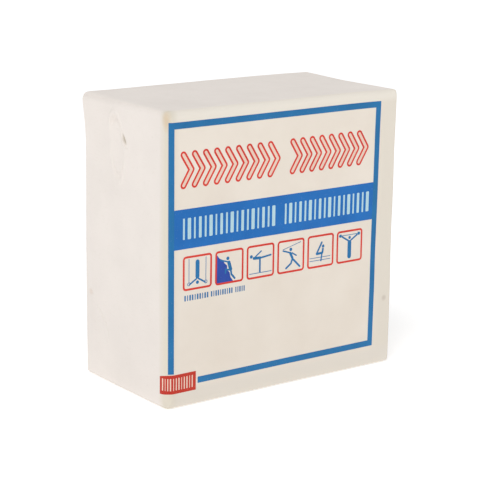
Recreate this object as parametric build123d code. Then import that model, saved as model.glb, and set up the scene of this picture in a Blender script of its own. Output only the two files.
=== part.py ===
"""Gymnastics chalk block: a pressed magnesium-carbonate block in a folded paper wrapper.

Units are millimetres. +Z is up, the printed front faces -Y, and the origin is the centre of the
footprint at floor level. The wrapper is one die-cut sheet: a front panel, four side panels that fold
back round the block, two tabs on each upright side panel that tuck under the top panel and over the
bottom one, and four flaps that close over each other on the back. Each crease is a hinge, so every
panel, tab and flap is its own solid, and each carries its half of the rounded fold.
"""
import math
import os

from build123d import *

# Wrapped pack
WIDTH = 58.7
DEPTH = 30.8
HEIGHT = 60.2

# Paper
PAPER = 0.2            # thickness of the sheet
AIR = 0.1              # gap between layers
LAYER = PAPER + AIR    # pitch from one layer to the next
FOLD_RADIUS = 1.3      # outside radius of the folds of the outer layer
SLIT = 0.03            # gap at the middle of a hinged fold

# Where each layer's outer skin lies, measured inwards from the pack's box
OUTER = 0.0
MIDDLE = LAYER
INNER = 2 * LAYER

# Corner tabs
TAB_REACH = 8.0        # how far a tab reaches in under the top panel
TAB_TAPER = 1.5        # how much each end of a tab narrows over its reach
TAB_START = 1.6        # clear of the front fold
TAB_END = 3.4          # clear of the back fold
TAB_CORNER = 1.0       # radius of its free corners

# Back flaps
CLOSING_REACH = 42.0   # closing flap, down from the top edge
CLOSING_MARGIN = 2.5   # how far its sides stand in from the pack's sides
CLOSING_CORNER = 5.0   # radius of its lower corners
SIDE_REACH = 24.0      # left and right flaps
BOTTOM_REACH = 22.0
MITRE_MARGIN = 0.6     # clearance of a mitred end from the 45 degree line
EDGE_INSET = 0.35      # cut edges of the top and bottom panels stand in from the sides

# Adhesive that holds the closing flap down
GLUE_LENGTH = 34.0
GLUE_WIDTH = 6.0
GLUE_THICK = 0.06
GLUE_END = 2.9         # radius of its rounded ends
GLUE_LIFT = 4.0        # above the closing flap's lower edge

# Chalk
CHALK_EDGE = 2.0       # radius of the pressed block's worn edges

HALF_W = WIDTH / 2
HALF_D = DEPTH / 2


def plate(low, high):
    """A plain box between two corners."""
    size = [b - a for a, b in zip(low, high)]
    middle = [(a + b) / 2 for a, b in zip(low, high)]
    return Pos(*middle) * Box(*size)


def fold(axis, centre, radius, start, turn, length_range, slit=SLIT):
    """Half of a rounded fold: an eighth of a tube, 45 degrees long, of paper thickness.

    axis is the direction of the crease and centre the two other coordinates of its centre line,
    which are (y, z) for X, (z, x) for Y and (x, y) for Z. In the plane of those two, start is the
    angle where the fold leaves its panel, and turn is 1 to run on anticlockwise from there or -1
    to run clockwise. slit is cut off at the crease, so that the two halves of a hinge stay apart.
    """
    sweep = 45 - math.degrees(slit / radius)
    with BuildSketch(Plane.XY) as ring:
        with BuildLine():
            outer = CenterArc((0, 0), radius, start, turn * sweep)
            inner = CenterArc((0, 0), radius - PAPER, start, turn * sweep)
            Line(outer @ 0, inner @ 0)
            Line(outer @ 1, inner @ 1)
        make_face()
    low, high = length_range
    solid = extrude(ring.sketch, amount=high - low)
    first, second = centre
    if axis == "X":      # sketch x, y -> world y, z
        place = Plane(origin=(low, first, second), x_dir=(0, 1, 0), z_dir=(1, 0, 0))
    elif axis == "Y":    # sketch x, y -> world z, x
        place = Plane(origin=(second, low, first), x_dir=(0, 0, 1), z_dir=(0, 1, 0))
    else:                # sketch x, y -> world x, y
        place = Plane(origin=(first, second, low), x_dir=(1, 0, 0), z_dir=(0, 0, 1))
    return place.location * solid


def back_radius(skin):
    """Outside radius of a back fold whose skin lies that far in, kept concentric with the outer one."""
    return FOLD_RADIUS - skin / 2


def chalk_block():
    """The pressed block, with worn round edges, sitting inside all the paper layers."""
    low = (-HALF_W + LAYER, -HALF_D + LAYER, 2 * LAYER)
    high = (HALF_W - LAYER, HALF_D - 3 * LAYER, HEIGHT - 2 * LAYER)
    block = plate(low, high)
    return fillet(block.edges(), CHALK_EDGE)


def front_panel():
    """Printed front: a flat sheet with the front halves of its four folds."""
    r = FOLD_RADIUS
    span_x = (-HALF_W + r, HALF_W - r)
    span_z = (r, HEIGHT - r)
    sheet = plate((span_x[0], -HALF_D, span_z[0]), (span_x[1], -HALF_D + PAPER, span_z[1]))
    front = -HALF_D + r
    sheet += fold("Z", (-HALF_W + r, front), r, 270, -1, span_z)
    sheet += fold("Z", (HALF_W - r, front), r, 270, 1, span_z)
    sheet += fold("X", (front, HEIGHT - r), r, 180, -1, span_x)
    sheet += fold("X", (front, r), r, 180, 1, span_x)
    return sheet


def level_panel(top):
    """Top or bottom panel, with its halves of the front and back folds."""
    r = FOLD_RADIUS
    skin = OUTER if top else INNER
    rb = back_radius(skin)
    wide = HALF_W - EDGE_INSET
    narrow = HALF_W - r
    back = HALF_D - skin - rb
    sheet = plate((-wide, -HALF_D + r, HEIGHT - PAPER), (wide, back, HEIGHT))
    sheet += fold("X", (-HALF_D + r, HEIGHT - r), r, 90, 1, (-narrow, narrow))
    sheet += fold("X", (back, HEIGHT - rb), rb, 90, -1, (-narrow, narrow))
    if top:
        return sheet
    return mirror(sheet, Plane.XY.offset(HEIGHT / 2))


def side_panel():
    """Left panel, between its front fold, its back fold and its two tab folds."""
    r = FOLD_RADIUS
    rb = back_radius(MIDDLE)
    rt = FOLD_RADIUS - LAYER
    back = HALF_D - MIDDLE - rb
    low_z = LAYER + rt
    high_z = HEIGHT - LAYER - rt
    sheet = plate((-HALF_W, -HALF_D + r, low_z), (-HALF_W + PAPER, back, high_z))
    sheet += fold("Z", (-HALF_W + r, -HALF_D + r), r, 180, 1, (low_z, high_z))
    sheet += fold("Z", (-HALF_W + rb, back), rb, 180, -1, (low_z, high_z))
    tab_span = (-HALF_D + TAB_START, HALF_D - TAB_END)
    sheet += fold("Y", (high_z, -HALF_W + rt), rt, 270, 1, tab_span, slit=0)
    sheet += fold("Y", (low_z, -HALF_W + rt), rt, 270, -1, tab_span, slit=0)
    return sheet


def corner_tab():
    """Upper tab of the left panel: it tucks in flat under the top panel."""
    rt = FOLD_RADIUS - LAYER
    z_top = HEIGHT - LAYER
    root_x = -HALF_W + rt
    near = -HALF_D + TAB_START
    far = HALF_D - TAB_END
    outline = Polyline(
        (root_x, near), (root_x + TAB_REACH, near + TAB_TAPER),
        (root_x + TAB_REACH, far - TAB_TAPER), (root_x, far), close=True,
    )
    tab = extrude(Pos(0, 0, z_top - PAPER) * make_face(outline), amount=PAPER)
    tab = fillet(tab.edges().filter_by(Axis.Z).group_by(Axis.X)[-1], TAB_CORNER)
    return tab + fold("Y", (z_top - rt, root_x), rt, 0, -1, (near, far), slit=0)


def closing_flap():
    """Outermost flap: folds down from the top panel, with rounded lower corners."""
    r = back_radius(OUTER)
    half = HALF_W - CLOSING_MARGIN
    high = HEIGHT - r
    low = HEIGHT - CLOSING_REACH
    sheet = plate((-half, HALF_D - PAPER, low), (half, HALF_D, high))
    sheet = fillet(sheet.edges().filter_by(Axis.Y).group_by(Axis.Z)[0], CLOSING_CORNER)
    return sheet + fold("X", (HALF_D - r, high), r, 0, 1, (-half, half))


def side_flap():
    """Left flap, in the middle layer: its upper end is mitred to pass inside the closing flap."""
    r = back_radius(MIDDLE)
    y_skin = HALF_D - MIDDLE
    root = -HALF_W + r
    tip = -HALF_W + SIDE_REACH
    low_z = FOLD_RADIUS
    root_z = HEIGHT - MITRE_MARGIN - r
    mitre_z = HEIGHT - MITRE_MARGIN - SIDE_REACH
    outline = Polyline((root, low_z), (tip, low_z), (tip, mitre_z), (root, root_z), close=True)
    sheet = extrude(Plane.XZ.offset(-y_skin).location * make_face(outline), amount=PAPER)
    return sheet + fold("Z", (root, y_skin - r), r, 90, 1, (low_z, root_z))


def bottom_flap():
    """Innermost flap: folds up from the bottom panel, with both ends mitred."""
    r = back_radius(INNER)
    y_skin = HALF_D - INNER
    half = HALF_W - MITRE_MARGIN
    outline = Polyline(
        (-half + r, r), (half - r, r),
        (half - BOTTOM_REACH, BOTTOM_REACH), (-half + BOTTOM_REACH, BOTTOM_REACH), close=True,
    )
    sheet = extrude(Plane.XZ.offset(-y_skin).location * make_face(outline), amount=PAPER)
    return sheet + fold("X", (y_skin - r, r), r, 0, -1, (-half + r, half - r))


def glue_strip():
    """Band of adhesive on the inner face of the closing flap."""
    low_z = HEIGHT - CLOSING_REACH + GLUE_LIFT
    y_face = HALF_D - PAPER
    band = plate(
        (-GLUE_LENGTH / 2, y_face - GLUE_THICK, low_z),
        (GLUE_LENGTH / 2, y_face, low_z + GLUE_WIDTH),
    )
    return fillet(band.edges().filter_by(Axis.Y), GLUE_END)


def to_right(piece):
    """The mirror twin of a left-hand piece."""
    return mirror(piece, Plane.YZ)


def to_bottom(piece):
    """The mirror twin of an upper piece."""
    return mirror(piece, Plane.XY.offset(HEIGHT / 2))


def build():
    """Every solid of the pack, by name."""
    left_side = side_panel()
    left_top_tab = corner_tab()
    left_back = side_flap()
    return {
        "chalk_block": chalk_block(),
        "front_panel": front_panel(),
        "top_panel": level_panel(top=True),
        "bottom_panel": level_panel(top=False),
        "left_panel": left_side,
        "right_panel": to_right(left_side),
        "left_top_tab": left_top_tab,
        "left_bottom_tab": to_bottom(left_top_tab),
        "right_top_tab": to_right(left_top_tab),
        "right_bottom_tab": to_right(to_bottom(left_top_tab)),
        "closing_flap": closing_flap(),
        "left_flap": left_back,
        "right_flap": to_right(left_back),
        "bottom_flap": bottom_flap(),
        "glue_strip": glue_strip(),
    }


os.makedirs("parts", exist_ok=True)
for name, piece in build().items():
    piece.label = name
    export_step(piece, f"parts/{name}.step")
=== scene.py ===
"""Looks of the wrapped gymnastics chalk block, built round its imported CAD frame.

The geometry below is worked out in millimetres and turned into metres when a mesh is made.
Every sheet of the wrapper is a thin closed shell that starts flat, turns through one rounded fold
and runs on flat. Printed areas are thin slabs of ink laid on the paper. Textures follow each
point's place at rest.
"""

import math

import bpy
import numpy as np
from mathutils import Matrix, Vector
from mathutils.geometry import delaunay_2d_cdt


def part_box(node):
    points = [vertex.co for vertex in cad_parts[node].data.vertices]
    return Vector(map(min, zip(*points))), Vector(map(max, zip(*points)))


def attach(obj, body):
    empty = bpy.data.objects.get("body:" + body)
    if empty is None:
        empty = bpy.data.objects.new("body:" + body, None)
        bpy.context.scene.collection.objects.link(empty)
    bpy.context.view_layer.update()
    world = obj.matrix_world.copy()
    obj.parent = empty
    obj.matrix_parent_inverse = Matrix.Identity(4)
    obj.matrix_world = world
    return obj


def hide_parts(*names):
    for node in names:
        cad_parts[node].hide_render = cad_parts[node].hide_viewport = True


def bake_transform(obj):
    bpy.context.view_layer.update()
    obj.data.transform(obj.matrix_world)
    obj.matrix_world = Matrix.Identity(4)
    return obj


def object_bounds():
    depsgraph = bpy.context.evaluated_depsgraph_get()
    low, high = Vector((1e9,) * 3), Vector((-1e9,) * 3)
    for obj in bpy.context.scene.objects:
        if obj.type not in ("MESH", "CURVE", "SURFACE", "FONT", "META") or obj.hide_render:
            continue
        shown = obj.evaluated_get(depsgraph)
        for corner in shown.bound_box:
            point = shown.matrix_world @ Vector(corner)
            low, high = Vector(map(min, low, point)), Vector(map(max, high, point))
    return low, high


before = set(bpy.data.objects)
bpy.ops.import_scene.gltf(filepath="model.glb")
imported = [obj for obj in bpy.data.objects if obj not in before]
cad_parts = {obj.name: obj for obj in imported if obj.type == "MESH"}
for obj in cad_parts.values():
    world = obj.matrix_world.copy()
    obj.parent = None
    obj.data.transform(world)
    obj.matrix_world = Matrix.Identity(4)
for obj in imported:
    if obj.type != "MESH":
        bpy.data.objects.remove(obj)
CAD_LOW, CAD_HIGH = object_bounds()

MM = 0.001
X, Y, Z = np.eye(3)


def box_mm(node):
    """Lowest and highest corner of a CAD node, in millimetres."""
    low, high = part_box(node)
    return np.array(low) / MM, np.array(high) / MM


# ---- Sizes taken from the frame ----
HALF_W = CAD_HIGH.x / MM
HALF_D = CAD_HIGH.y / MM
HEIGHT = CAD_HIGH.z / MM
LAYER = HALF_D - box_mm("left_flap")[1][1]  # pitch between paper layers
CLOSING_TIP = box_mm("closing_flap")[0][2]  # height of the closing flap's lower edge
CLOSING_HALF = box_mm("closing_flap")[1][0]
SIDE_TIP = box_mm("left_flap")[1][0]  # x of the left flap's free edge
BOTTOM_TIP = box_mm("bottom_flap")[1][2]
TAB_TIP = box_mm("left_top_tab")[1][0]
TAB_FRONT = box_mm("left_top_tab")[0][1]
TAB_BACK = box_mm("left_top_tab")[1][1]

# Paper and folds
FOLD = 1.3  # outside radius of the outer folds
SHEET = 0.09  # thickness that the paper is drawn at
SIDE_FOLD = FOLD - LAYER / 2
BOTTOM_FOLD = FOLD - LAYER
SIDE_SKIN = HALF_D - LAYER  # y of the side flaps' outer skin
BOTTOM_SKIN = HALF_D - 2 * LAYER  # y of the bottom flap's
QUARTER = math.pi / 2

# How far each layer's skin is sunk below the pack's own skin where another layer covers it
TUCK = SHEET + 0.01  # side panels, under the bent edges of the top and bottom panels
TAB_INSET = TUCK + 0.02  # corner tabs
SIDE_INSET = LAYER  # left and right flaps, under the closing flap
BOTTOM_INSET = 2 * LAYER  # bottom flap, under the left and right flaps
PRESSED = 0.05  # cut edges of the top and bottom panels, pressed down on the tabs

# Cut edges: how far they bend over the pack's edges, and how the flaps and tabs are trimmed
CUT_EDGE = FOLD * math.radians(46)  # top and bottom panels, over the sides
PANEL_BEND = FOLD * math.radians(78)  # side panels, under the top and bottom panels
FLAP_LOW_BEND = FOLD * math.radians(74)  # side flaps, lower end
FLAP_HIGH_BEND = FOLD * math.radians(55)  # side flaps, upper end
FLAP_MITRE = 1.2  # slope of their upper end
TAB_TAPER, TAB_CORNER = 1.5, 1.2
CLOSING_CORNER = 5.0  # radius of the closing flap's lower corners
CLOSING_NARROWING = 4.0  # length over which it narrows below its fold

# Meshing
FOLD_STEP, FLAP_STEP, CLOSING_STEP, PANEL_STEP = 0.12, 0.5, 0.45, 0.4
SHARP_ANGLE = math.radians(50)  # cut edges stay crisp, and skins are shaded smoothly


# ---- Small numeric helpers ----
def lattice_noise(points, cell, seed):
    """Smooth value noise in -1..1 at points (N, 3), with lattice cells of that size."""
    place = points / cell + seed * 17.31
    whole = np.floor(place).astype(np.int64)
    part = place - whole
    ease = part ** 3 * (part * (part * 6 - 15) + 10)
    total = np.zeros(len(points))
    for corner in range(8):
        step = np.array([corner & 1, corner >> 1 & 1, corner >> 2 & 1])
        key = whole + step
        mixed = key[:, 0] * 73856093 ^ key[:, 1] * 19349663 ^ key[:, 2] * 83492791 ^ seed * 2654435
        mixed = (mixed ^ mixed >> 13) * 1274126177
        value = ((mixed ^ mixed >> 16) & 0xFFFF) / 32767.5 - 1
        weight = np.where(step, ease, 1 - ease).prod(axis=1)
        total += value * weight
    return total


def bump(values, centre, width):
    """Bell curve of height 1."""
    return np.exp(-((values - centre) / width) ** 2)


def hills(table, first, second):
    """Sum of 2-D bell curves, given as height, then centre and width for each coordinate."""
    return sum(height * bump(first, a, wide) * bump(second, b, tall) for height, a, wide, b, tall in table)


def segment_distance(first, second, start, end):
    """Distance of 2-D points from a segment."""
    start, end = np.array(start, float), np.array(end, float)
    run = end - start
    length = max(float(run @ run), 1e-12)
    along = np.clip(((first - start[0]) * run[0] + (second - start[1]) * run[1]) / length, 0, 1)
    return np.hypot(first - start[0] - along * run[0], second - start[1] - along * run[1])


# ---- Relief of the paper: how far the skin stands out from its ideal place, in millimetres ----
SLIT_PLACE = (-0.05, 52.6)  # y and z of the slit's middle, on the left side
SLIT_TILT = math.radians(58)  # its lean from level
DIMPLE_PLACE = (2.7, 50.6)  # y and z of the oval dimple's middle
DIMPLE_RADII = (2.8, 7.1)
DIMPLE_LEAN = 0.09  # how far its axis leans back for each millimetre up
SLIT_BUMPS = (  # height, then place and width along the slit and across it
    (-0.85, 0.0, 1.2, 0.0, 0.26),
    (0.36, 0.1, 1.2, -0.58, 0.30),
    (0.36, -1.75, 0.45, 0.05, 0.38),
)
DENTS = (  # height, then place and width in y and in z
    (-0.30, 7.8, 2.4, 51.5, 1.7),
    (-0.18, 9.8, 1.5, 45.0, 0.9),
)
CREASE_WIDTH = 0.28
CREASES = (  # y and z of each end, and the depth
    ((10.2, 15.6), (7.2, 12.6), 0.18),
    ((7.2, 12.6), (6.0, 9.0), 0.11),
    ((12.8, 18.3), (11.9, 17.8), 0.14),
)


def left_face_marks(y, z):
    """Dimple, slit, dents and creases pressed into the left side."""
    from_y, from_z = y - DIMPLE_PLACE[0], z - DIMPLE_PLACE[1]
    oval = np.hypot((from_y - DIMPLE_LEAN * from_z) / DIMPLE_RADII[0], from_z / DIMPLE_RADII[1])
    marks = -0.40 * np.exp(-(oval / 0.75) ** 4)
    marks += 0.46 * bump(oval, 1.0, 0.09) * bump(z, 57.3, 2.3)
    marks += 0.36 * bump(oval, 1.0, 0.10) * bump(z, 45.4, 3.0) * bump(y, 0.6, 2.2)
    marks -= 0.32 * bump(oval, 0.82, 0.09) * (bump(z, 56.6, 2.3) + bump(z, 45.6, 2.6))
    slit_y, slit_z = SLIT_PLACE
    along = (y - slit_y) * math.cos(SLIT_TILT) + (z - slit_z) * math.sin(SLIT_TILT)
    across = -(y - slit_y) * math.sin(SLIT_TILT) + (z - slit_z) * math.cos(SLIT_TILT)
    marks += hills(SLIT_BUMPS, along, across) + hills(DENTS, y, z)
    for start, end, depth in CREASES:
        marks -= depth * np.exp(-(segment_distance(y, z, start, end) / CREASE_WIDTH) ** 2)
    return marks


def worn_radius(points):
    """Radius of the pack's rounded edge nearest to each point: some edges are crisp, some are soft."""
    x, y, z = points.T
    gap = {"left": HALF_W + x, "right": HALF_W - x, "front": HALF_D + y, "back": HALF_D - y,
           "low": z, "high": HEIGHT - z}
    depth_share = np.clip((y + HALF_D) / (2 * HALF_D), 0, 1)
    height_share = np.clip(z / HEIGHT, 0, 1)
    left_share = np.clip((HALF_W - x) / (2 * HALF_W), 0, 1)
    edges = (
        ("front", "left", 2.0), ("front", "right", 0.5), ("front", "high", 1.0), ("front", "low", 0.7),
        ("left", "high", 0.8 + 1.5 * depth_share ** 2), ("left", "low", 0.5),
        ("right", "high", 0.5), ("right", "low", 0.7),
        ("back", "left", 0.5 + 0.6 * height_share ** 6), ("back", "right", 0.8),
        ("back", "high", 0.5 + 0.9 * left_share ** 8), ("back", "low", 1.2 - 0.7 * left_share ** 8),
    )
    total, weights = 0.0, 0.0
    for first, second, radius in edges:
        weight = 1 / (gap[first] ** 2 + gap[second] ** 2 + 0.3) ** 2
        total = total + weight * radius
        weights = weights + weight
    return total / weights


SKIN_STEPS = 14  # each step closes most of what is left of the way


def to_worn_skin(points, normals, inset):
    """How far each point moves along its normal to reach the pack's rounded skin, less the inset."""
    middle = np.array([0, 0, HEIGHT / 2])
    half = np.array([HALF_W, HALF_D, HEIGHT / 2])
    radius = np.maximum(worn_radius(points), inset + 0.05)
    core = half - radius[:, None]
    out = np.zeros(len(points))
    for _ in range(SKIN_STEPS):
        beyond = np.abs(points + normals * out[:, None] - middle) - core
        away = np.linalg.norm(np.maximum(beyond, 0), axis=1) + np.minimum(beyond.max(axis=1), 0)
        out -= away - (radius - inset)
    return out


def relief(points, normals, inset=0.0):
    """Outward relief of the wrapper's skin at rest places (N, 3) with those outward normals."""
    x, y, z = points.T
    out = to_worn_skin(points, normals, inset)
    for height, cell, seed in ((0.060, 13.0, 3), (0.026, 5.5, 5), (0.007, 2.1, 8)):
        out += height * lattice_noise(points, cell, seed)
    on_left = np.clip((-HALF_W + 0.9 - x) / 0.6, 0, 1)
    out += on_left * left_face_marks(y, z)
    return out


def nudge(points):
    """Shift of the pack's misshapen edges: two upper corners swell, the upper right edge sags."""
    x, y, z = points.T
    swell = bump(x, -HALF_W, 5.0) * bump(y, HALF_D, 4.0) * bump(z, HEIGHT - 2.0, 5.0)
    tip = bump(x, -HALF_W, 4.0) * bump(y, HALF_D, 4.0) * bump(z, HEIGHT, 2.8)
    lean = bump(x, HALF_W, 6.0) * bump(y, -HALF_D, 6.0) * bump(z, HEIGHT, 9.0)
    sag = bump(x, HALF_W, 7.0) * bump(z, HEIGHT, 4.0)
    rise = bump(y, HALF_D, 9.0) * bump(z, HEIGHT, 4.0)
    return (swell[:, None] * (-0.38 * X + 0.44 * Y + 0.08 * Z) + tip[:, None] * (-0.20 * X + 0.28 * Y)
            + 0.20 * lean[:, None] * X - 0.20 * sag[:, None] * Z + 0.15 * rise[:, None] * Z)


# ---- Mesh building ----
def make_object(name, vertices, faces, rest, materials, face_materials=None):
    """A mesh object from millimetre vertices, with each vertex's rest place kept for its textures."""
    mesh = bpy.data.meshes.new(name)
    mesh.from_pydata((np.asarray(vertices) * MM).tolist(), [], [list(map(int, f)) for f in faces])
    for material in materials:
        mesh.materials.append(material)
    if face_materials is not None:
        mesh.polygons.foreach_set("material_index", np.asarray(face_materials, dtype=np.int32))
    place = mesh.attributes.new("rest_place", "FLOAT_VECTOR", "POINT")
    place.data.foreach_set("vector", (np.asarray(rest, dtype=np.float32) * MM).ravel())
    mesh.shade_smooth()
    mesh.update()
    made = bpy.data.objects.new(name, mesh)
    bpy.context.scene.collection.objects.link(made)
    return made


def faces_away(vertices, face, normal):
    """Whether a face's corners run clockwise, seen from the side that the normal points to."""
    origin = vertices[face[0]]
    return np.cross(vertices[face[1]] - origin, vertices[face[-1]] - origin) @ normal < 0


class Fold:
    """A sheet's middle line: it leaves start along heading, turns a quarter towards toward, runs on.

    A place on the sheet is (run, across): run is the distance along that line from start, and
    across is measured along side, from the plane through the origin. Past a rounding limit the
    sheet's edge bends over with the given radius.
    """

    def __init__(self, start, heading, toward, radius, side, rounding=None):
        self.start = np.array(start, float)
        self.heading, self.toward, self.side = heading, toward, side
        self.radius = radius
        self.arc = radius * QUARTER
        self.rounding = rounding  # (low limit, high limit, radius of the bent edge)

    def place(self, run, across):
        """Rest places and outward normals for arrays of run and across."""
        angle = np.clip(run / self.radius, 0, QUARTER)[:, None]
        straight = np.maximum(run - self.arc, 0)[:, None]
        normal = -self.toward * np.cos(angle) + self.heading * np.sin(angle)
        point = self.start + self.toward * (self.radius + straight) + normal * self.radius
        if self.rounding is None:
            return point + across[:, None] * self.side, normal
        low, high, radius = self.rounding
        kept = np.clip(across, low, high)
        bend = ((across - kept) / radius)[:, None]
        turned = normal * np.cos(bend) + self.side * np.sin(bend)
        point = point + kept[:, None] * self.side + (turned - normal) * radius
        return point, turned


def spaced(stops, step):
    """Values from the first stop to the last, passing through each stop, about step apart."""
    values = [stops[0]]
    for low, high in zip(stops, stops[1:]):
        count = max(1, int(round((high - low) / step)))
        values += list(np.linspace(low, high, count + 1)[1:])
    return np.array(values)


def graded(low, high, step, fine=0.16, margin=2.4):
    """Values from low to high, about step apart, and fine near both ends, where the skin curves."""
    ends = spaced((low, low + margin), fine), spaced((high - margin, high), fine)
    return np.concatenate([ends[0], spaced((low + margin, high - margin), step)[1:-1], ends[1]])


def no_inset(normals):
    """The outermost layer lies on the pack's own skin."""
    return np.zeros(len(normals))


def sheet(name, fold, runs, limits, step, materials, inset=no_inset, extra=None):
    """A closed paper shell over a grid of runs, between the limits (low, high) given for each run."""
    low, high = limits(runs)
    widest = (high - low).max()
    share = graded(0, widest, step) / widest
    run_grid = np.repeat(runs, len(share))
    across_grid = (low[:, None] + (high - low)[:, None] * share[None, :]).ravel()
    ideal, normal = fold.place(run_grid, across_grid)
    out = relief(ideal, normal, inset(normal))
    if extra is not None:
        out = out + extra(run_grid, across_grid)
    skin = ideal + normal * out[:, None] + nudge(ideal)
    inside = skin - normal * SHEET
    index = np.arange(len(skin)).reshape(len(runs), len(share))
    quads = np.stack([index[:-1, :-1], index[1:, :-1], index[1:, 1:], index[:-1, 1:]], -1).reshape(-1, 4)
    loop = np.concatenate([index[0, :-1], index[:-1, -1], index[-1, :0:-1], index[:0:-1, 0]])
    following = np.roll(loop, -1)
    total = len(skin)
    rim = np.stack([loop, following, following + total, loop + total], -1)
    probe = quads[len(quads) // 2]
    if faces_away(skin, probe, normal[probe[0]]):
        quads, rim = quads[:, ::-1], rim[:, ::-1]
    faces = np.concatenate([quads, rim, quads[:, ::-1] + total])
    kinds = [0] * (len(quads) + len(rim)) + [1] * len(quads)
    piece = make_object(name, np.concatenate([skin, inside]), faces,
                        np.concatenate([ideal, ideal]), materials, kinds)
    piece.data.set_sharp_from_angle(angle=SHARP_ANGLE)
    return piece


# ---- Materials ----
class Nodes:
    """A short way to write a node material."""

    def __init__(self, name):
        self.material = bpy.data.materials.new(name)
        self.material.use_nodes = True
        self.tree = self.material.node_tree
        self.shader = self.tree.nodes["Principled BSDF"]

    def add(self, kind, **values):
        node = self.tree.nodes.new(kind)
        for key, value in values.items():
            if key in node.inputs:
                self.feed(node.inputs[key], value)
            else:
                setattr(node, key, value)
        return node

    def feed(self, socket, value):
        if isinstance(value, bpy.types.NodeSocket):
            self.tree.links.new(value, socket)
        else:
            socket.default_value = value

    def rest_place(self):
        return self.add("ShaderNodeAttribute", attribute_name="rest_place").outputs["Vector"]

    def mapped(self, vector, **values):
        """The vector through a mapping node with those values."""
        return self.add("ShaderNodeMapping", Vector=vector, **values).outputs["Vector"]

    def noise(self, vector, scale, detail=3.0, rough=0.55):
        node = self.add("ShaderNodeTexNoise", Vector=vector, Scale=scale, Detail=detail, Roughness=rough)
        return node.outputs["Fac"]

    def span(self, value, low, high, to_low=0.0, to_high=1.0):
        """The value carried from one range to the other, and held at its ends."""
        ranges = {"From Min": low, "From Max": high, "To Min": to_low, "To Max": to_high}
        return self.add("ShaderNodeMapRange", Value=value, **ranges).outputs["Result"]

    def math(self, operation, first, second=0.0):
        node = self.add("ShaderNodeMath", operation=operation)
        self.feed(node.inputs[0], first)
        self.feed(node.inputs[1], second)
        return node.outputs["Value"]

    def mix(self, share, first, second, blend_type="MIX"):
        node = self.add("ShaderNodeMix", data_type="RGBA", blend_type=blend_type,
                        Factor=share, A=first, B=second)
        return node.outputs["Result"]

    def distance(self, vector, point):
        node = self.add("ShaderNodeVectorMath", operation="DISTANCE")
        self.feed(node.inputs[0], vector)
        node.inputs[1].default_value = tuple(c * MM for c in point)
        return node.outputs["Value"]

    def tilted_distance(self, vector, point, tilt, stretch):
        """Distance from a point, with places along a line tilted in the YZ plane drawn closer."""
        turned = self.mapped(vector, vector_type="TEXTURE", Location=tuple(c * MM for c in point),
                             Rotation=(tilt, 0, 0), Scale=(1, stretch, 1))
        return self.distance(turned, (0, 0, 0))

    def surface(self, color, roughness, height=None, strength=0.2, depth=0.00003):
        self.feed(self.shader.inputs["Base Color"], color)
        self.feed(self.shader.inputs["Roughness"], roughness)
        if height is not None:
            raised = self.add("ShaderNodeBump", Strength=strength, Distance=depth, Height=height)
            self.feed(self.shader.inputs["Normal"], raised.outputs["Normal"])
        return self.material


def rgb(*levels):
    """Linear colour from sRGB levels of 0 to 255."""
    shares = [level / 255 for level in levels]
    return tuple(s / 12.92 if s <= 0.04045 else ((s + 0.055) / 1.055) ** 2.4 for s in shares) + (1.0,)


def tones_stains_and_painted_light(nodes, place, cloud, color):
    """Warmer front, toned margins and a darker, yellower strip along the front left fold, with a painted
    highlight below the front's upper fold, painted shade towards the bottom and in the slit, a stain and two
    specks.
    """
    parts = nodes.add("ShaderNodeSeparateXYZ", Vector=place)
    from_left = nodes.math("ADD", parts.outputs["X"], HALF_W * MM)
    from_front = nodes.math("ADD", parts.outputs["Y"], HALF_D * MM)
    level = parts.outputs["Z"]
    wobble = nodes.math("MULTIPLY", nodes.math("SUBTRACT", cloud, 0.5), 0.0016)
    squares = [nodes.math("MULTIPLY", gap, gap) for gap in (from_left, from_front)]
    from_edge = nodes.math("ADD", nodes.math("SQRT", nodes.math("ADD", *squares)), wobble)

    # The front is toned warmer and yellower than the sides.
    on_front = nodes.span(from_front, 0.0012, 0.0003)
    front_tone = nodes.mix(nodes.span(cloud, 0.35, 0.7), rgb(245, 235, 222), rgb(240, 229, 215))
    color = nodes.mix(on_front, color, front_tone)
    right = 2 * HALF_W * MM
    for share, tone in (
        (nodes.span(from_left, right - 0.0060, right - 0.0036, 0.0, 0.8), rgb(235, 227, 213)),
        (nodes.span(level, 0.0046, 0.0030), rgb(236, 228, 216)),
        # Painted highlight: the front's upper fold strip is made lighter.
        (nodes.span(level, (HEIGHT - 2.6) * MM, (HEIGHT - 1.4) * MM), rgb(244, 237, 225)),
    ):
        color = nodes.mix(nodes.math("MULTIPLY", on_front, share), color, tone)
    # Painted shade: all outside paper darkens towards the bottom, by up to 5.5 percent.
    color = nodes.mix(nodes.span(level, 0.050, 0.004), color, (0.945, 0.945, 0.945, 1.0), "MULTIPLY")

    stain_place = (-HALF_W + 0.3, -HALF_D + 0.75, (HEIGHT - 2.0) * 0.45)
    stain = nodes.distance(nodes.mapped(place, Scale=(1.0, 1.0, 0.45)), stain_place)
    slit = nodes.tilted_distance(place, (-HALF_W, *SLIT_PLACE), SLIT_TILT, 3.6)
    for away, clear, full, share, tone in (
        # A darker, yellower strip along the front left fold.
        (from_edge, 0.0027, 0.0009, 0.85, rgb(226, 218, 201)),
        (nodes.math("ADD", stain, wobble), 0.0012, 0.0003, 0.40, rgb(216, 178, 126)),
        # Painted shade: an olive grey darkens the slit.
        (slit, 0.00040, 0.00012, 0.75, rgb(168, 158, 128)),
        (nodes.distance(place, (-HALF_W, HALF_D - 2.4, 18.2)), 0.0009, 0.0003, 0.2, rgb(205, 170, 140)),
        (nodes.distance(place, (HALF_W - 1.9, -HALF_D, 14.6)), 0.0008, 0.0003, 0.3, rgb(170, 150, 135)),
    ):
        color = nodes.mix(nodes.span(away, clear, full, 0.0, share), color, tone)
    return color


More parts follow.
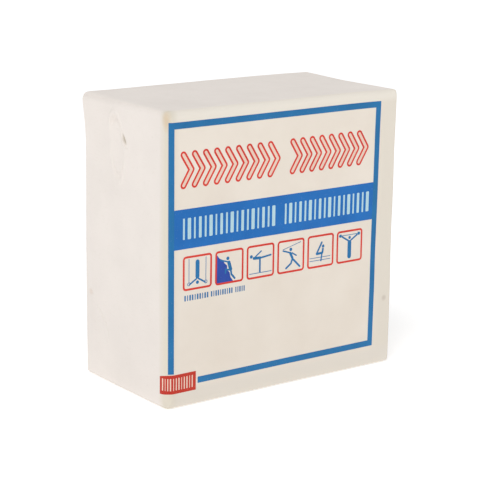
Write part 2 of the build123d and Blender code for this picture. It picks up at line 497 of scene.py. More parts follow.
def paper_material(name, tone, outside):
    """Uncoated paper: fibres and soft mottling, and on the outside toned areas, a stain, specks, a painted
    highlight and painted shade.
    """
    nodes = Nodes(name)
    place = nodes.rest_place()
    cloud = nodes.noise(place, 90.0, 4.0)
    fibre = nodes.noise(nodes.mapped(place, Scale=(900.0, 900.0, 2600.0)), 1.0, 4.0, 0.65)
    grain = nodes.noise(place, 4200.0, 2.0)
    color = nodes.mix(nodes.span(cloud, 0.35, 0.7), tone, tuple(c * 0.955 for c in tone[:3]) + (1.0,))
    color = nodes.mix(nodes.span(fibre, 0.55, 0.85, 0.0, 0.16), color, rgb(206, 196, 178))
    if outside:
        color = tones_stains_and_painted_light(nodes, place, cloud, color)
    height = nodes.math("ADD", nodes.math("MULTIPLY", fibre, 0.6), nodes.math("MULTIPLY", grain, 0.4))
    roughness = nodes.span(cloud, 0.3, 0.7, 0.60, 0.72)
    return nodes.surface(color, roughness, height, 0.35, 0.00002)


def ink_material(name, color, darker):
    """Offset ink: nearly even, with the paper's grain showing through in paler specks."""
    nodes = Nodes(name)
    place = nodes.rest_place()
    cloud = nodes.noise(place, 140.0, 3.0)
    grain = nodes.noise(place, 3400.0, 2.0, 0.7)
    tone = nodes.mix(nodes.span(cloud, 0.3, 0.7), color, darker)
    tone = nodes.mix(nodes.span(grain, 0.64, 0.9, 0.0, 0.22), tone, rgb(226, 218, 205))
    nodes.shader.inputs["Specular IOR Level"].default_value = 0.3
    return nodes.surface(tone, 0.6, grain, 0.25, 0.00001)


def chalk_material():
    """Pressed magnesium carbonate: white powder with pores, darkened a little in colour as painted shade, and
    faint pressing streaks.
    """
    nodes = Nodes("pressed_chalk")
    place = nodes.rest_place()
    cloud = nodes.noise(place, 160.0, 5.0, 0.6)
    powder = nodes.noise(place, 2600.0, 4.0, 0.7)
    pores = nodes.add("ShaderNodeTexVoronoi", Vector=place, Scale=900.0)
    pit = nodes.span(pores.outputs["Distance"], 0.0, 0.28)
    tone = nodes.mix(nodes.span(cloud, 0.3, 0.7), rgb(248, 248, 247), rgb(241, 241, 240))
    # Painted shade: the pores' hollows are darkened towards grey.
    tone = nodes.mix(nodes.span(pit, 0.0, 1.0, 0.10, 0.0), tone, rgb(198, 198, 196))
    height = nodes.math("ADD", nodes.math("MULTIPLY", pit, 0.6), nodes.math("MULTIPLY", powder, 0.7))
    return nodes.surface(tone, 0.95, height, 0.5, 0.00008)


def adhesive_material():
    """Dried adhesive: a clear, slightly amber film with a ropy surface."""
    nodes = Nodes("dried_adhesive")
    place = nodes.rest_place()
    ropy = nodes.noise(nodes.mapped(place, Scale=(240.0, 240.0, 900.0)), 1.0, 3.0)
    tone = nodes.mix(nodes.span(ropy, 0.3, 0.7), rgb(226, 212, 170), rgb(208, 190, 142))
    return nodes.surface(tone, 0.28, ropy, 0.5, 0.00005)


PAPER = paper_material("wrapper_outside", rgb(244, 236, 229), outside=True)
LINING = paper_material("wrapper_inside", rgb(243, 240, 234), outside=False)
TEAL_BLUE = ink_material("ink_teal_blue", rgb(36, 120, 178), rgb(28, 110, 166))
BLUE = ink_material("ink_blue", rgb(28, 116, 196), rgb(20, 104, 182))
DEEP_BLUE = ink_material("ink_deep_blue", rgb(44, 82, 178), rgb(36, 70, 160))
RED = ink_material("ink_red", rgb(228, 66, 52), rgb(214, 52, 40))
BRICK = ink_material("ink_brick", rgb(204, 58, 40), rgb(190, 48, 34))
PALE = ink_material("ink_pale", rgb(196, 228, 236), rgb(180, 216, 230))
BLUSH = ink_material("ink_blush", rgb(244, 218, 200), rgb(240, 208, 190))


# ---- Wrapper ----
SKINS = (PAPER, LINING)


def between(low, high):
    """Limits that are the same at every run."""
    return lambda runs: (np.full(len(runs), float(low)), np.full(len(runs), float(high)))


def fold_runs(fold, length, step):
    """Runs over a fold, meshed finely, and on to the sheet's end."""
    return np.concatenate([spaced((0, fold.arc), FOLD_STEP), graded(fold.arc, length, step)[1:]])


def turned_share(normals, axis, start, end):
    """Smooth 0..1 as the normals turn towards an axis."""
    share = np.clip((np.abs(normals @ axis) - start) / (end - start), 0, 1)
    return share * share * (3 - 2 * share)


def side_inset(normals):
    """Side panels tuck under the top and bottom panels, and their back folds under the closing flap."""
    backward = np.maximum(normals[:, 1], 0)
    return np.maximum(TUCK * turned_share(normals, Z, 0.08, 0.6), SIDE_INSET * backward ** 2)


def pressed_inset(normals):
    """The top panel's cut edges are pressed down where they bend over the sides."""
    return PRESSED * turned_share(normals, X, 0.45, 0.7)


def bottom_inset(normals):
    """The bottom panel's back fold also runs in under the side flaps."""
    return np.maximum(pressed_inset(normals), BOTTOM_INSET * np.maximum(normals[:, 1], 0) ** 2)


def tab_inset(normals):
    """The tabs lie under the top and bottom panels all over."""
    return np.full(len(normals), TAB_INSET)


# Where the sheets' edges start to bend: heights for upright folds, x for level ones
UPRIGHT_ROUNDING = (FOLD, HEIGHT - FOLD, FOLD)
LEVEL_ROUNDING = (FOLD - HALF_W, HALF_W - FOLD, FOLD)


def on_front(u, v):
    """The front's skin and normals, with u from its left edge and v from its lower edge."""
    point = np.stack([u - HALF_W, np.full(len(u), -HALF_D), v], -1)
    return point, np.repeat(-Y[None, :], len(u), axis=0)


class Front:
    """The front's middle line runs straight down from the upper fold."""

    def place(self, run, across):
        return on_front(across + HALF_W, HEIGHT - FOLD - run)


def side_fold(sign):
    """Middle line of the left (-1) or right (+1) panel, from the front to its back fold."""
    return Fold((sign * (HALF_W - FOLD), -HALF_D, 0), sign * X, Y, FOLD, Z, UPRIGHT_ROUNDING)


def level_fold(top):
    """Middle line of the top or bottom panel, from the front to its back fold."""
    height, up = (HEIGHT - FOLD, Z) if top else (FOLD, -Z)
    return Fold((0, -HALF_D, height), up, Y, FOLD, X, LEVEL_ROUNDING)


def closing_fold():
    """Middle line of the closing flap, from the top panel over the back fold and down."""
    return Fold((0, HALF_D - FOLD, HEIGHT), Y, -Z, FOLD, X, LEVEL_ROUNDING)


def side_flap_fold(sign):
    """Middle line of a side flap, from its panel over the back fold and inwards."""
    start = (sign * HALF_W, SIDE_SKIN - SIDE_FOLD, 0)
    return Fold(start, Y, -sign * X, SIDE_FOLD, Z, UPRIGHT_ROUNDING)


def bottom_flap_fold():
    """Middle line of the bottom flap, from the bottom panel over the back fold and up."""
    return Fold((0, BOTTOM_SKIN - BOTTOM_FOLD, 0), Y, Z, BOTTOM_FOLD, X, LEVEL_ROUNDING)


def front_sheet():
    return sheet("front_paper", Front(), graded(0, HEIGHT - 2 * FOLD, 0.5),
                 between(-HALF_W + FOLD, HALF_W - FOLD), 0.5, SKINS)


def side_sheet(name, sign):
    fold = side_fold(sign)
    back = fold.arc + (SIDE_SKIN - SIDE_FOLD) - (-HALF_D + FOLD)
    step = 0.18 if sign < 0 else 0.3  # the marked left face is meshed finer
    limits = between(FOLD - PANEL_BEND, HEIGHT - FOLD + PANEL_BEND)
    return sheet(name, fold, fold_runs(fold, back, step), limits, step, SKINS, side_inset)


def level_sheet(name, top):
    fold = level_fold(top)
    back_edge = HALF_D - FOLD if top else BOTTOM_SKIN - BOTTOM_FOLD
    back = fold.arc + back_edge - (-HALF_D + FOLD)
    half = HALF_W - FOLD + CUT_EDGE
    return sheet(name, fold, fold_runs(fold, back, PANEL_STEP), between(-half, half), PANEL_STEP, SKINS,
                 pressed_inset if top else bottom_inset)


def tab_sheet(name, sign, top):
    """Corner tab: it comes off the side panel's bent edge and lies flat inside."""
    height, up = (HEIGHT - FOLD, Z) if top else (FOLD, -Z)
    radius = FOLD - TAB_INSET
    fold = Fold((sign * (HALF_W - TAB_INSET), 0, height), up, -sign * X, radius, Y)
    reach = fold.arc + (HALF_W - FOLD) - abs(TAB_TIP)

    def limits(runs):
        taper = TAB_TAPER * np.clip((runs - fold.arc) / (reach - fold.arc), 0, 1)
        end = np.clip((runs - reach + TAB_CORNER) / TAB_CORNER, 0, 1)
        round_off = TAB_CORNER * (1 - np.sqrt(np.maximum(0, 1 - end ** 2)))
        return TAB_FRONT + taper + round_off, TAB_BACK - taper - round_off

    runs = spaced((radius * math.radians(45), fold.arc, reach), 0.3)
    return sheet(name, fold, runs, limits, PANEL_STEP, (LINING, LINING), tab_inset)


LIFT_REACH = 12.0  # how far up from its free edge the closing flap lifts off the back
LIFT_FLAT, LIFT_EDGE, LIFT_CORNER = 0.16, 0.10, 0.40


def closing_lift(rise, x):
    """How far the closing flap stands off the back, at a height above its free edge."""
    free = np.clip(1 - rise / LIFT_REACH, 0, 1)
    corner = LIFT_CORNER * np.abs(x / CLOSING_HALF) ** 3
    return LIFT_FLAT * free ** 2 + (LIFT_EDGE + corner) * free ** 4


def closing_sheet():
    """Outermost flap: it narrows below its fold and has rounded lower corners."""
    fold = closing_fold()
    length = fold.arc + (HEIGHT - FOLD) - CLOSING_TIP
    straight = length - CLOSING_CORNER
    corner_runs = length - CLOSING_CORNER * (1 - np.sin(np.linspace(0, QUARTER, 22)[1:]))
    runs = np.concatenate([fold_runs(fold, straight, CLOSING_STEP), corner_runs])
    wide = HALF_W - FOLD + CUT_EDGE

    def limits(runs):
        narrowing = np.clip((runs - fold.arc * 0.4) / CLOSING_NARROWING, 0, 1)
        half = wide + (CLOSING_HALF - wide) * narrowing ** 0.8
        into = np.clip((runs - straight) / CLOSING_CORNER, 0, 1)
        half = half - CLOSING_CORNER * (1 - np.sqrt(np.maximum(0, 1 - into ** 2)))
        return -half, half

    def lift(run, across):
        return closing_lift(length - run, across)

    return sheet("closing_flap_paper", fold, runs, limits, CLOSING_STEP, SKINS, pressed_inset, lift)


def side_flap_sheet(name, sign):
    """Flap of the middle layer, mitred at its upper end."""
    fold = side_flap_fold(sign)
    length = fold.arc + (HALF_W - SIDE_FOLD) - abs(SIDE_TIP)

    def limits(runs):
        inward = np.maximum(runs - fold.arc * 0.75, 0)
        low = np.minimum(FOLD - FLAP_LOW_BEND + inward, FOLD - FLAP_LOW_BEND * 0.3)
        high = HEIGHT - FOLD + FLAP_HIGH_BEND - FLAP_MITRE * inward
        return low, high

    return sheet(name, fold, fold_runs(fold, length, FLAP_STEP), limits, FLAP_STEP, SKINS, side_inset)


def bottom_flap_sheet():
    """Innermost flap, mitred at both ends."""
    fold = bottom_flap_fold()
    length = fold.arc + BOTTOM_TIP - BOTTOM_FOLD

    def limits(runs):
        turned = np.clip(runs / fold.arc, 0, 1)
        mitre = np.maximum(runs - fold.arc, 0)
        half = HALF_W - FOLD + CUT_EDGE * (1 - turned ** 2) - 0.3 * turned - mitre
        return -half, half

    return sheet("bottom_flap_paper", fold, fold_runs(fold, length, FLAP_STEP), limits, FLAP_STEP, SKINS,
                 bottom_inset)


def bend_at(piece, fold, across=0.0):
    """Bakes the piece's transform into its mesh."""
    ends, _ = fold.place(np.array([0.0, fold.arc]), np.array([across, across]))
    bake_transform(piece)


def stand_for(node):
    """Hides the CAD node that a piece stands in for."""
    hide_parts(node)


def hinged(piece, name, fold, across=0.0):
    """Bakes the piece's transform, and hides the CAD node of that name."""
    bend_at(piece, fold, across)
    stand_for(name)


ROOT = "front_and_block"
front_paper = front_sheet()
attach(front_paper, ROOT)
stand_for("front_panel")

for side_name, side_sign in (("left", -1), ("right", 1)):
    panel_name = f"{side_name}_panel"
    hinged(side_sheet(f"{side_name}_paper", side_sign), panel_name, side_fold(side_sign), HEIGHT / 2)
    for level in ("top", "bottom"):
        tab = tab_sheet(f"{side_name}_{level}_tab_paper", side_sign, level == "top")
        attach(tab, panel_name)
        stand_for(f"{side_name}_{level}_tab")
    flap = side_flap_sheet(f"{side_name}_flap_paper", side_sign)
    hinged(flap, f"{side_name}_flap", side_flap_fold(side_sign), HEIGHT / 2)

for level in ("top", "bottom"):
    panel = level_sheet(f"{level}_paper", level == "top")
    hinged(panel, f"{level}_panel", level_fold(level == "top"))

hinged(closing_sheet(), "closing_flap", closing_fold())
hinged(bottom_flap_sheet(), "bottom_flap", bottom_flap_fold())


# ---- Printing ----
class Shape:
    """A printed shape, given by its outline loops: what an odd number of them encloses is inside."""

    def __init__(self, *loops):
        self.loops = loops

    def moved(self, by_x, by_y):
        return Shape(*([(x + by_x, y + by_y) for x, y in loop] for loop in self.loops))

    def inside(self, x, y):
        odd = np.zeros(len(x), bool)
        for loop in self.loops:
            for (x0, y0), (x1, y1) in zip(loop, loop[1:] + loop[:1]):
                crosses = (y0 > y) != (y1 > y)
                odd ^= crosses & (x < (x1 - x0) * (y - y0) / ((y1 - y0) or 1e-9) + x0)
        return odd


def arc_points(centre, radius, first, last, count):
    angles = np.linspace(first, last, count)
    return [(centre[0] + radius * math.cos(a), centre[1] + radius * math.sin(a)) for a in angles]


def bar(start, end, width):
    """A straight stroke with round ends."""
    heading = math.atan2(end[1] - start[1], end[0] - start[0])
    return Shape(arc_points(end, width / 2, heading - QUARTER, heading + QUARTER, 9)
                 + arc_points(start, width / 2, heading + QUARTER, heading + 3 * QUARTER, 9))


def disc(centre, radius):
    return Shape(arc_points(centre, radius, 0, 2 * math.pi, 25)[:-1])


def rounded_loop(low, high, corner):
    left, base = low[0] + corner, low[1] + corner
    right, top = high[0] - corner, high[1] - corner
    loop = []
    for turn, centre in enumerate(((right, top), (left, top), (left, base), (right, base))):
        loop += arc_points(centre, corner, turn * QUARTER, (turn + 1) * QUARTER, 7)
    return loop


def rounded_panel(low, high, corner):
    """A filled rectangle with rounded corners."""
    return Shape(rounded_loop(low, high, corner))


def rounded_outline(low, high, corner, stroke):
    """The outline of a rounded rectangle, drawn inwards from its edge."""
    inner_low = (low[0] + stroke, low[1] + stroke)
    inner_high = (high[0] - stroke, high[1] - stroke)
    inner_corner = max(corner - stroke, 0.03)
    return Shape(rounded_loop(low, high, corner), rounded_loop(inner_low, inner_high, inner_corner))


def stepped(loop, step):
    """The loop with extra points, so that no side is longer than step."""
    points = []
    for start, end in zip(loop, loop[1:] + loop[:1]):
        length = math.dist(start, end)
        if length > 1e-6:
            points += np.linspace(start, end, math.ceil(length / step), endpoint=False).tolist()
    return points


INK_LIFT = 0.016  # ink stands this far off the paper
INK_SINK = 0.020  # and starts this far inside it


def ink(name, shapes, material, place, minus=(), step=0.9):
    """A thin slab of ink over the union of shapes, less the minus shapes, laid on the paper by place."""
    points, edges = [], []
    for shape in list(shapes) + list(minus):
        for loop in shape.loops:
            ring = stepped(loop, step)
            first = len(points)
            points += ring
            edges += [(first + i, first + (i + 1) % len(ring)) for i in range(len(ring))]
    low, high = np.min(points, axis=0), np.max(points, axis=0)
    grid_x, grid_y = np.meshgrid(np.arange(low[0], high[0], step) + step * 0.37,
                                 np.arange(low[1], high[1], step) + step * 0.41)
    grid_x, grid_y = grid_x.ravel(), grid_y.ravel()

    def covered(x, y):
        hit = np.zeros(len(x), bool)
        for shape in shapes:
            hit |= shape.inside(x, y)
        for shape in minus:
            hit &= ~shape.inside(x, y)
        return hit

    keep = covered(grid_x, grid_y)
    points += list(zip(grid_x[keep].tolist(), grid_y[keep].tolist()))
    flat, _, triangles, *_ = delaunay_2d_cdt([Vector(p) for p in points], edges, [], 0, 1e-5)
    flat = np.array([tuple(p) for p in flat])
    triangles = np.array([tuple(t) for t in triangles])
    middle = flat[triangles].mean(axis=1)
    triangles = triangles[covered(middle[:, 0], middle[:, 1])]
    used, triangles = np.unique(triangles, return_inverse=True)
    triangles = triangles.reshape(-1, 3)
    flat = flat[used]
    ideal, normal = place(flat[:, 0], flat[:, 1])
    skin = ideal + normal * relief(ideal, normal)[:, None] + nudge(ideal)
    upper, lower = skin + normal * INK_LIFT, skin - normal * INK_SINK
    total = len(flat)
    directed = {(int(t[i]), int(t[(i + 1) % 3])) for t in triangles for i in range(3)}
    walls = [(end, start, start + total, end + total) for start, end in directed
             if (end, start) not in directed]
    faces = [tuple(t) for t in triangles] + [tuple(t[::-1] + total) for t in triangles] + sorted(walls)
    if faces_away(upper, triangles[0], normal[triangles[0][0]]):
        faces = [face[::-1] for face in faces]
    piece = make_object(name, np.concatenate([upper, lower]), faces,
                        np.concatenate([ideal, ideal]), (material,))
    piece.data.set_sharp_from_angle(angle=SHARP_ANGLE)
    return piece


def round_left_edge(u, v):
    """The front, but carried round the left fold where u is less than the fold's radius."""
    flat_point, flat_normal = on_front(u, v)
    bent_point, bent_normal = side_fold(-1).place(np.maximum(FOLD - u, 0), v)
    on_fold = (u < FOLD)[:, None]
    return np.where(on_fold, bent_point, flat_point), np.where(on_fold, bent_normal, flat_normal)


# Layout of the front, in millimetres from its lower left corner
FRAME_LOW, FRAME_HIGH = (0.45, 4.35), (53.8, 58.0)
FRAME_BAR = 1.32
FRAME_LEAN = 0.45  # the right bar leans out by this much at its upper end
BAND = (32.6, 40.65)
TITLE_ROW = (44.7, 52.2)
TITLE_STROKE, TITLE_LINE = 1.42, 0.40
CHEVRON_POINT = 1.9
TITLE_GROUPS = ((3.2, 27.8, 9), (30.2, 51.2, 8))
SUBTITLE_ROW = (34.5, 38.8)
SUBTITLE_GROUPS = ((3.4, 26.9, 9), (28.7, 51.9, 9))
TILE, TILE_PITCH = 7.05, 7.86
TILE_LEFT, TILE_BASE = 3.85, 24.0
TILE_CORNER, TILE_STROKE = 0.75, 0.42
CAPTION_ROW = (21.9, 23.05)
CAPTION_GROUPS = ((4.1, 10.2, 5), (10.6, 16.2, 5), (16.7, 19.2, 3))
BADGE_LOW, BADGE_HIGH = (-1.75, 3.05), (7.1, 7.0)
BADGE_MARGIN, BADGE_TICKS = (0.55, 0.7), 6


def frame_shapes():
    """The border, which stops short of the badge, and the band across its middle."""
    left, low = FRAME_LOW
    right, high = FRAME_HIGH
    inner = left + FRAME_BAR
    corner = 0.05

    def right_at(level):
        return right + FRAME_LEAN * (level - low) / (high - low)

    border = [
        rounded_panel((left, BADGE_HIGH[1] + 0.2), (inner, high), corner),
        rounded_panel((inner - 0.1, high - FRAME_BAR), (right_at(high) - 0.1, high), corner),
        Shape([(right - FRAME_BAR, low), (right, low),
                 (right_at(high), high), (right_at(high) - FRAME_BAR, high)]),
        rounded_panel((BADGE_HIGH[0] + 0.45, low), (right - 0.1, low + FRAME_BAR), corner),
    ]
    band_low, band_high = BAND
    band = Shape([(inner, band_low), (right_at(band_low) - FRAME_BAR, band_low),
                    (right_at(band_high) - FRAME_BAR, band_high), (inner, band_high)])
    return border, [band]


def title_strokes(width):
    """Chevrons in two groups, as strokes of one width with round ends."""
    shapes = []
    half = TITLE_STROKE / 2
    low_row, high_row = TITLE_ROW[0] + half, TITLE_ROW[1] - half
    middle_row = (low_row + high_row) / 2
    for low, high, count in TITLE_GROUPS:
        pitch = (high - low - TITLE_STROKE - CHEVRON_POINT) / (count - 1)
        for i in range(count):
            left = low + half + i * pitch
            tip = (left + CHEVRON_POINT, middle_row)
            shapes += [bar((left, low_row), tip, width), bar(tip, (left, high_row), width)]
    return shapes


def tick_row(groups, row, widths, fill):
    """Upright ticks of varying weight, in groups, as a stand-in for a line of print."""
    shapes = []
    for low, high, count in groups:
        pitch = (high - low) / (2 * count)
        for i in range(2 * count):
            width = widths[i % len(widths)] * pitch
            middle = low + (i + 0.5) * pitch
            shapes.append(rounded_panel((middle - width / 2, row[0]), (middle + width / 2, row[1]),
                                      min(width, row[1] - row[0]) * fill))
    return shapes


def limbs(*strokes):
    """Round-ended strokes, each given as its width and the points that it runs through."""
    return [bar(a, b, width) for width, *joints in strokes for a, b in zip(joints, joints[1:])]


def around(x, y, half_x, half_y):
    """Lower and upper corner of a rectangle about a point."""
    return (x - half_x, y - half_y), (x + half_x, y + half_y)


# Figures of the six tiles, drawn about the tile's middle
HANGING_FROM_RINGS = limbs(
    (0.13, (-2.05, 2.85), (-2.05, -1.9)), (0.13, (2.05, 2.85), (2.05, -1.9)),
    (0.95, (0, 2.1), (0, -0.9)),
    (0.34, (-0.25, -1.35), (-1.85, -2.3)), (0.34, (0.25, -1.35), (1.85, -2.3)),
) + [rounded_outline(*around(x, -2.25, 0.38, 0.38), 0.38, 0.14) for x in (-2.05, 2.05)]
HANGING_FROM_RINGS += [disc((0, -2.1), 0.36)]

CLIMBING = limbs(
    (0.30, (-0.35, 1.0), (-2.2, 1.6)),
    (0.80, (-0.15, 0.85), (0.3, -0.6)),
    (0.42, (0.35, -0.8), (0.55, -1.7), (1.35, -2.6)),
    (0.36, (0.1, -0.7), (-0.9, -0.5), (-0.95, -1.2)),
) + [disc((-0.42, 1.75), 0.37)]

BALANCING_ON_BEAM = limbs(
    (0.14, (-2.8, -2.4), (2.8, -2.4)),
    (0.42, (-0.15, 0.5), (-0.15, -2.15)),
    (0.60, (-1.7, 0.8), (-0.1, 0.7)),
    (0.38, (-0.1, 0.7), (2.6, 1.0)),
    (0.28, (-1.3, 1.1), (0.15, 2.1)),
) + [disc((-2.35, 1.2), 0.36)]

THROWING = limbs(
    (0.12, (-2.1, 1.55), (2.5, 2.7)),
    (0.32, (-0.35, 0.75), (-2.05, 1.3)),
    (0.58, (-0.15, 0.6), (0.4, -0.5)),
    (0.30, (0.3, 0.6), (1.4, -0.05)),
    (0.42, (0.4, -0.7), (0.05, -1.6), (-1.2, -2.5)),
    (0.42, (0.6, -0.8), (2.35, -2.5)),
) + [disc((-0.05, 1.4), 0.36)]

PIKED_OVER_BARS = limbs(
    (0.13, (-2.85, -1.35), (2.6, -1.35)), (0.13, (-2.85, -1.95), (2.6, -1.95)),
    (0.42, (-1.05, -0.5), (0.3, 1.8)),
    (0.50, (-0.95, -0.55), (0.45, -0.45)),
    (0.48, (0.5, -0.4), (0.62, 0.35)),
    (0.34, (0.5, 0.1), (0.15, -2.1)),
) + [disc((0.68, 0.95), 0.34)]

LIFTING = limbs(
    (0.14, (-2.9, 2.45), (2.9, 2.45)),
    (0.36, (-0.3, 1.2), (-2.0, 2.2)), (0.36, (0.3, 1.2), (2.0, 2.2)),
    (1.0, (0, 0.8), (0, -2.2)),
) + [rounded_panel(*around(x, 2.45, 0.3, 0.32), 0.12) for x in (-2.5, 2.5)]
LIFTING += [disc((0, 1.85), 0.34)]

FIGURES = (HANGING_FROM_RINGS, CLIMBING, BALANCING_ON_BEAM, THROWING, PIKED_OVER_BARS, LIFTING)

# The rock behind the climber fills the tile's lower left
TILE_INSIDE = TILE / 2 - TILE_STROKE
SLOPE = Shape([
    (-TILE_INSIDE, 2.75), (-2.5, 2.0), (-1.6, 1.5), (-1.2, 0.8), (-0.6, 0.3), (-0.55, -0.5),
    (0.1, -1.3), (0.3, -2.2), (0.95, -TILE_INSIDE), (-TILE_INSIDE, -TILE_INSIDE),
])


def in_tile(index, shapes):
    """Shapes moved from about the origin to about the middle of a tile."""
    middle_x = TILE_LEFT + TILE / 2 + index * TILE_PITCH
    return [shape.moved(middle_x, TILE_BASE + TILE / 2) for shape in shapes]


def print_flat(name, shapes, material, minus=()):
    """Ink on the flat of the front."""
    piece = ink(name, shapes, material, on_front, minus)
    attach(piece, ROOT)


def print_round_fold(name, shapes, material, minus=()):
    """Ink that runs round the left fold."""
    piece = ink(name, shapes, material, round_left_edge, minus, 0.3)
    bend_at(piece, side_fold(-1), HEIGHT / 2)


def print_front():
    pale = tick_row(SUBTITLE_GROUPS, SUBTITLE_ROW, (0.34, 0.62, 0.30, 0.50), 0.25)
    border, band = frame_shapes()
    print_round_fold("print_frame", border, TEAL_BLUE)
    print_flat("print_band", band, BLUE, pale)
    print_flat("print_band_ticks", pale, PALE)
    cores = title_strokes(TITLE_STROKE - 2 * TITLE_LINE)
    print_flat("print_title_lines", title_strokes(TITLE_STROKE), RED, cores)
    print_flat("print_title_cores", cores, BLUSH)
    tile = rounded_outline(*around(0, 0, TILE / 2, TILE / 2), TILE_CORNER, TILE_STROKE)
    count = len(FIGURES)
    print_flat("print_tiles", [shape for i in range(count) for shape in in_tile(i, [tile])], RED)
    print_flat("print_figures", [shape for i in range(count) for shape in in_tile(i, FIGURES[i])], TEAL_BLUE)
    print_flat("print_slope", in_tile(1, [SLOPE]), DEEP_BLUE, in_tile(1, CLIMBING))
    caption = tick_row(CAPTION_GROUPS, CAPTION_ROW, (0.55, 0.35, 0.6), 0.3)
    print_flat("print_caption_ticks", caption, TEAL_BLUE)


def print_badge():
    """A plain red badge with pale ticks, printed round the left fold, slightly askew."""
    left, low = BADGE_LOW
    right, high = BADGE_HIGH
    row = (low + BADGE_MARGIN[1], high - BADGE_MARGIN[1])
    group = (left + BADGE_MARGIN[0], right - BADGE_MARGIN[0], BADGE_TICKS)
    ticks = tick_row((group,), row, (0.45, 0.25, 0.4), 0.25)
    ground = Shape([(left, low - 0.15), (0.4, low), (right, low),
                    (right, high), (0.4, high), (-0.8, high - 0.16), (left, high - 0.42)])
    print_round_fold("print_badge", [ground], BRICK, ticks)
    print_round_fold("print_badge_ticks", ticks, BLUSH)


print_front()
print_badge()


# ---- Chalk block and adhesive ----
BLOCK_EDGE = 2.2  # radius of the block's rounded edges
BLOCK_CELL = 0.55  # size of its mesh's cells
PRESSED_IN = 0.30  # how far its faces stand in from the CAD's, to make room for the wear


def rounded_block(name, low, high, radius, cell, material, wear):
    """A box with rounded, worn edges, meshed as six matching grids."""
    counts = np.maximum(2, np.round((high - low) / cell).astype(int))
    ticks = [np.linspace(low[i], high[i], counts[i] + 1) for i in range(3)]
    lookup, faces = {}, []
    for axis in range(3):
        first, second = (axis + 1) % 3, (axis + 2) % 3
        for end in (0, counts[axis]):
            for i, j in np.ndindex(counts[first], counts[second]):
                corners = []
                for step_i, step_j in ((0, 0), (1, 0), (1, 1), (0, 1)):
                    key = [0, 0, 0]
                    key[axis], key[first], key[second] = int(end), i + step_i, j + step_j
                    corners.append(lookup.setdefault(tuple(key), len(lookup)))
                faces.append(corners if end else corners[::-1])
    points = np.array([[ticks[i][key[i]] for i in range(3)] for key in lookup])
    core = np.clip(points, low + radius, high - radius)
    away = points - core
    normal = away / np.maximum(np.linalg.norm(away, axis=1), 1e-9)[:, None]
    rest = core + normal * radius
    rest = rest + normal * wear(rest, low, high)[:, None]
    return make_object(name, rest, faces, rest, (material,))


def chalk_wear(points, low, high):
    """Pressing marks on the faces, and small chips where two faces meet."""
    gap = np.sort(np.minimum(points - low, high - points), axis=1)
    near_edge = np.exp(-(gap[:, 1] / 1.3) ** 2)
    chips = np.clip(lattice_noise(points, 2.6, 21) - 0.25, 0, 1)
    crumbs = np.clip(lattice_noise(points, 1.1, 22) - 0.45, 0, 1)
    out = -PRESSED_IN - 0.9 * near_edge * chips
    out -= 0.25 * crumbs * (0.15 + near_edge)
    out += 0.05 * lattice_noise(points, 9.0, 23) + 0.03 * lattice_noise(points, 0.9, 24)
    return out


block_low, block_high = box_mm("chalk_block")
chalk = rounded_block("pressed_chalk_block", block_low, block_high, BLOCK_EDGE, BLOCK_CELL,
                      chalk_material(), chalk_wear)
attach(chalk, ROOT)
stand_for("chalk_block")


GLUE_ROOT = 0.04  # how far the film starts inside the flap
GLUE_DEPTH = 0.17  # its thickness, measured from the flap's inner face


def glue_film():
    """Adhesive on the closing flap's inner face: a thin, uneven, round-ended film."""
    low, high = box_mm("glue_strip")
    width = high[2] - low[2]
    shape = rounded_panel((low[0], low[2]), (high[0], high[2]), width / 2 - 0.05)

    def place(x, z):
        ideal = np.stack([x, np.full(len(x), HALF_D), z], -1)
        return ideal, np.repeat(Y[None, :], len(x), axis=0)

    piece = ink("glue_film", [shape], adhesive_material(), place, (), 0.8)
    points = np.array([vertex.co for vertex in piece.data.vertices]) / MM
    half = len(points) // 2
    points[:half, 1] += GLUE_ROOT - SHEET - INK_LIFT
    points[half:, 1] += INK_SINK - SHEET - GLUE_DEPTH + 0.015 * lattice_noise(points[half:], 1.7, 31)
    points[:, 1] += closing_lift(points[:, 2] - CLOSING_TIP, points[:, 0])
    piece.data.vertices.foreach_set("co", (points * MM).astype(np.float32).ravel())
    piece.data.update()
    return piece


glue = glue_film()
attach(glue, "closing_flap")
stand_for("glue_strip")


# ---- Stage, light and camera ----
FLOOR_HALF = 3.0  # metres
FLOOR_LEVEL = -0.00015  # just below the pack, in metres
SKY = 0.55  # strength of the white surroundings
VIEW_TURN = math.radians(-36.55)  # how far the camera stands round to the left of the front
VIEW_DIP = math.radians(13.52)  # how far it looks down
VIEW_ROLL = math.radians(0.70)  # how far it is tipped sideways
VIEW_DISTANCE = 0.3633  # metres from the place that it is aimed at
VIEW_DROP = 0.00201  # how far it is shifted down its own frame, in metres
VIEW_TARGET = Vector((29.0 - HALF_W, 15.15 - HALF_D, HEIGHT - 30.0)) * MM
LENS = 128.2  # focal length for a sensor 36 mm wide


def stage_material():
    """Pale, matt floor with a barely visible cloud of tone."""
    nodes = Nodes("studio_floor")
    vector = nodes.add("ShaderNodeTexCoord").outputs["Object"]
    cloud = nodes.noise(vector, 3.0, 2.0)
    tone = nodes.mix(nodes.span(cloud, 0.3, 0.7), (0.94, 0.94, 0.94, 1), (0.92, 0.92, 0.92, 1))
    nodes.shader.inputs["Emission Color"].default_value = (1, 1, 1, 1)
    nodes.shader.inputs["Emission Strength"].default_value = 0.33
    return nodes.surface(tone, 0.9)


def make_floor():
    mesh = bpy.data.meshes.new("studio_floor")
    corners = [(x * FLOOR_HALF, y * FLOOR_HALF, FLOOR_LEVEL) for x, y in ((-1, -1), (1, -1), (1, 1), (-1, 1))]
    mesh.from_pydata(corners, [], [(0, 1, 2, 3)])
    mesh.materials.append(stage_material())
    floor = bpy.data.objects.new("studio_floor", mesh)
    bpy.context.scene.collection.objects.link(floor)


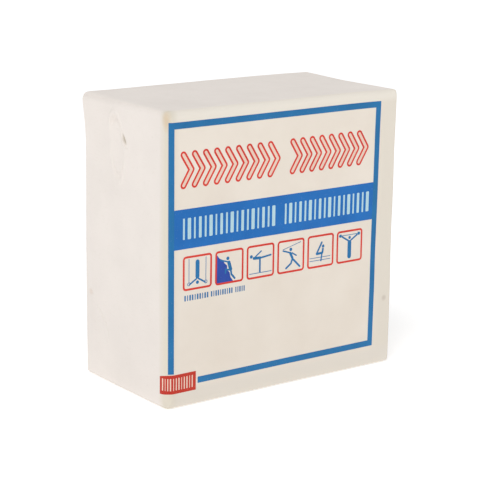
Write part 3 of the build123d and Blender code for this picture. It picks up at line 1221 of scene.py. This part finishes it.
def make_sun(name, direction, strength, spread_degrees):
    """A broad, soft light from one side of the sky."""
    data = bpy.data.lights.new(name, "SUN")
    data.energy, data.angle = strength, math.radians(spread_degrees)
    light = bpy.data.objects.new(name, data)
    bpy.context.scene.collection.objects.link(light)
    light.rotation_mode = "QUATERNION"
    light.rotation_quaternion = (-Vector(direction)).to_track_quat("-Z", "Y")


def make_world():
    """White surroundings that light the pack less than they shine on the camera."""
    world = bpy.data.worlds.new("studio_white")
    world.use_nodes = True
    tree = world.node_tree
    background = tree.nodes["Background"]
    background.inputs["Color"].default_value = (1, 1, 1, 1)
    path = tree.nodes.new("ShaderNodeLightPath")
    seen = tree.nodes.new("ShaderNodeMapRange")
    seen.inputs["To Min"].default_value = SKY
    seen.inputs["To Max"].default_value = 1.0
    tree.links.new(path.outputs["Is Camera Ray"], seen.inputs["Value"])
    tree.links.new(seen.outputs["Result"], background.inputs["Strength"])
    bpy.context.scene.world = world


def make_camera():
    """Long lens, from the left of the front and a little above."""
    right = Vector((math.cos(VIEW_TURN), math.sin(VIEW_TURN), 0))
    level = math.cos(VIEW_DIP)
    forward = Vector((-math.sin(VIEW_TURN) * level, math.cos(VIEW_TURN) * level, -math.sin(VIEW_DIP)))
    down = forward.cross(right)
    right, down = (right * math.cos(VIEW_ROLL) - down * math.sin(VIEW_ROLL),
                   right * math.sin(VIEW_ROLL) + down * math.cos(VIEW_ROLL))
    data = bpy.data.cameras.new("camera")
    data.sensor_width, data.lens = 36.0, LENS
    data.clip_start, data.clip_end = 0.01, 20.0
    camera = bpy.data.objects.new("camera", data)
    bpy.context.scene.collection.objects.link(camera)
    axes = Matrix((right, -down, -forward)).transposed().to_4x4()
    place = VIEW_TARGET - forward * VIEW_DISTANCE + down * VIEW_DROP
    camera.matrix_world = Matrix.Translation(place) @ axes
    bpy.context.scene.camera = camera


make_floor()
make_world()
make_sun("key", (-0.45, -0.29, 0.82), 1.00, 24)
make_sun("fill", (0.70, 0.66, 0.26), 0.24, 60)
make_camera()
bpy.context.scene.view_settings.view_transform = "Standard"
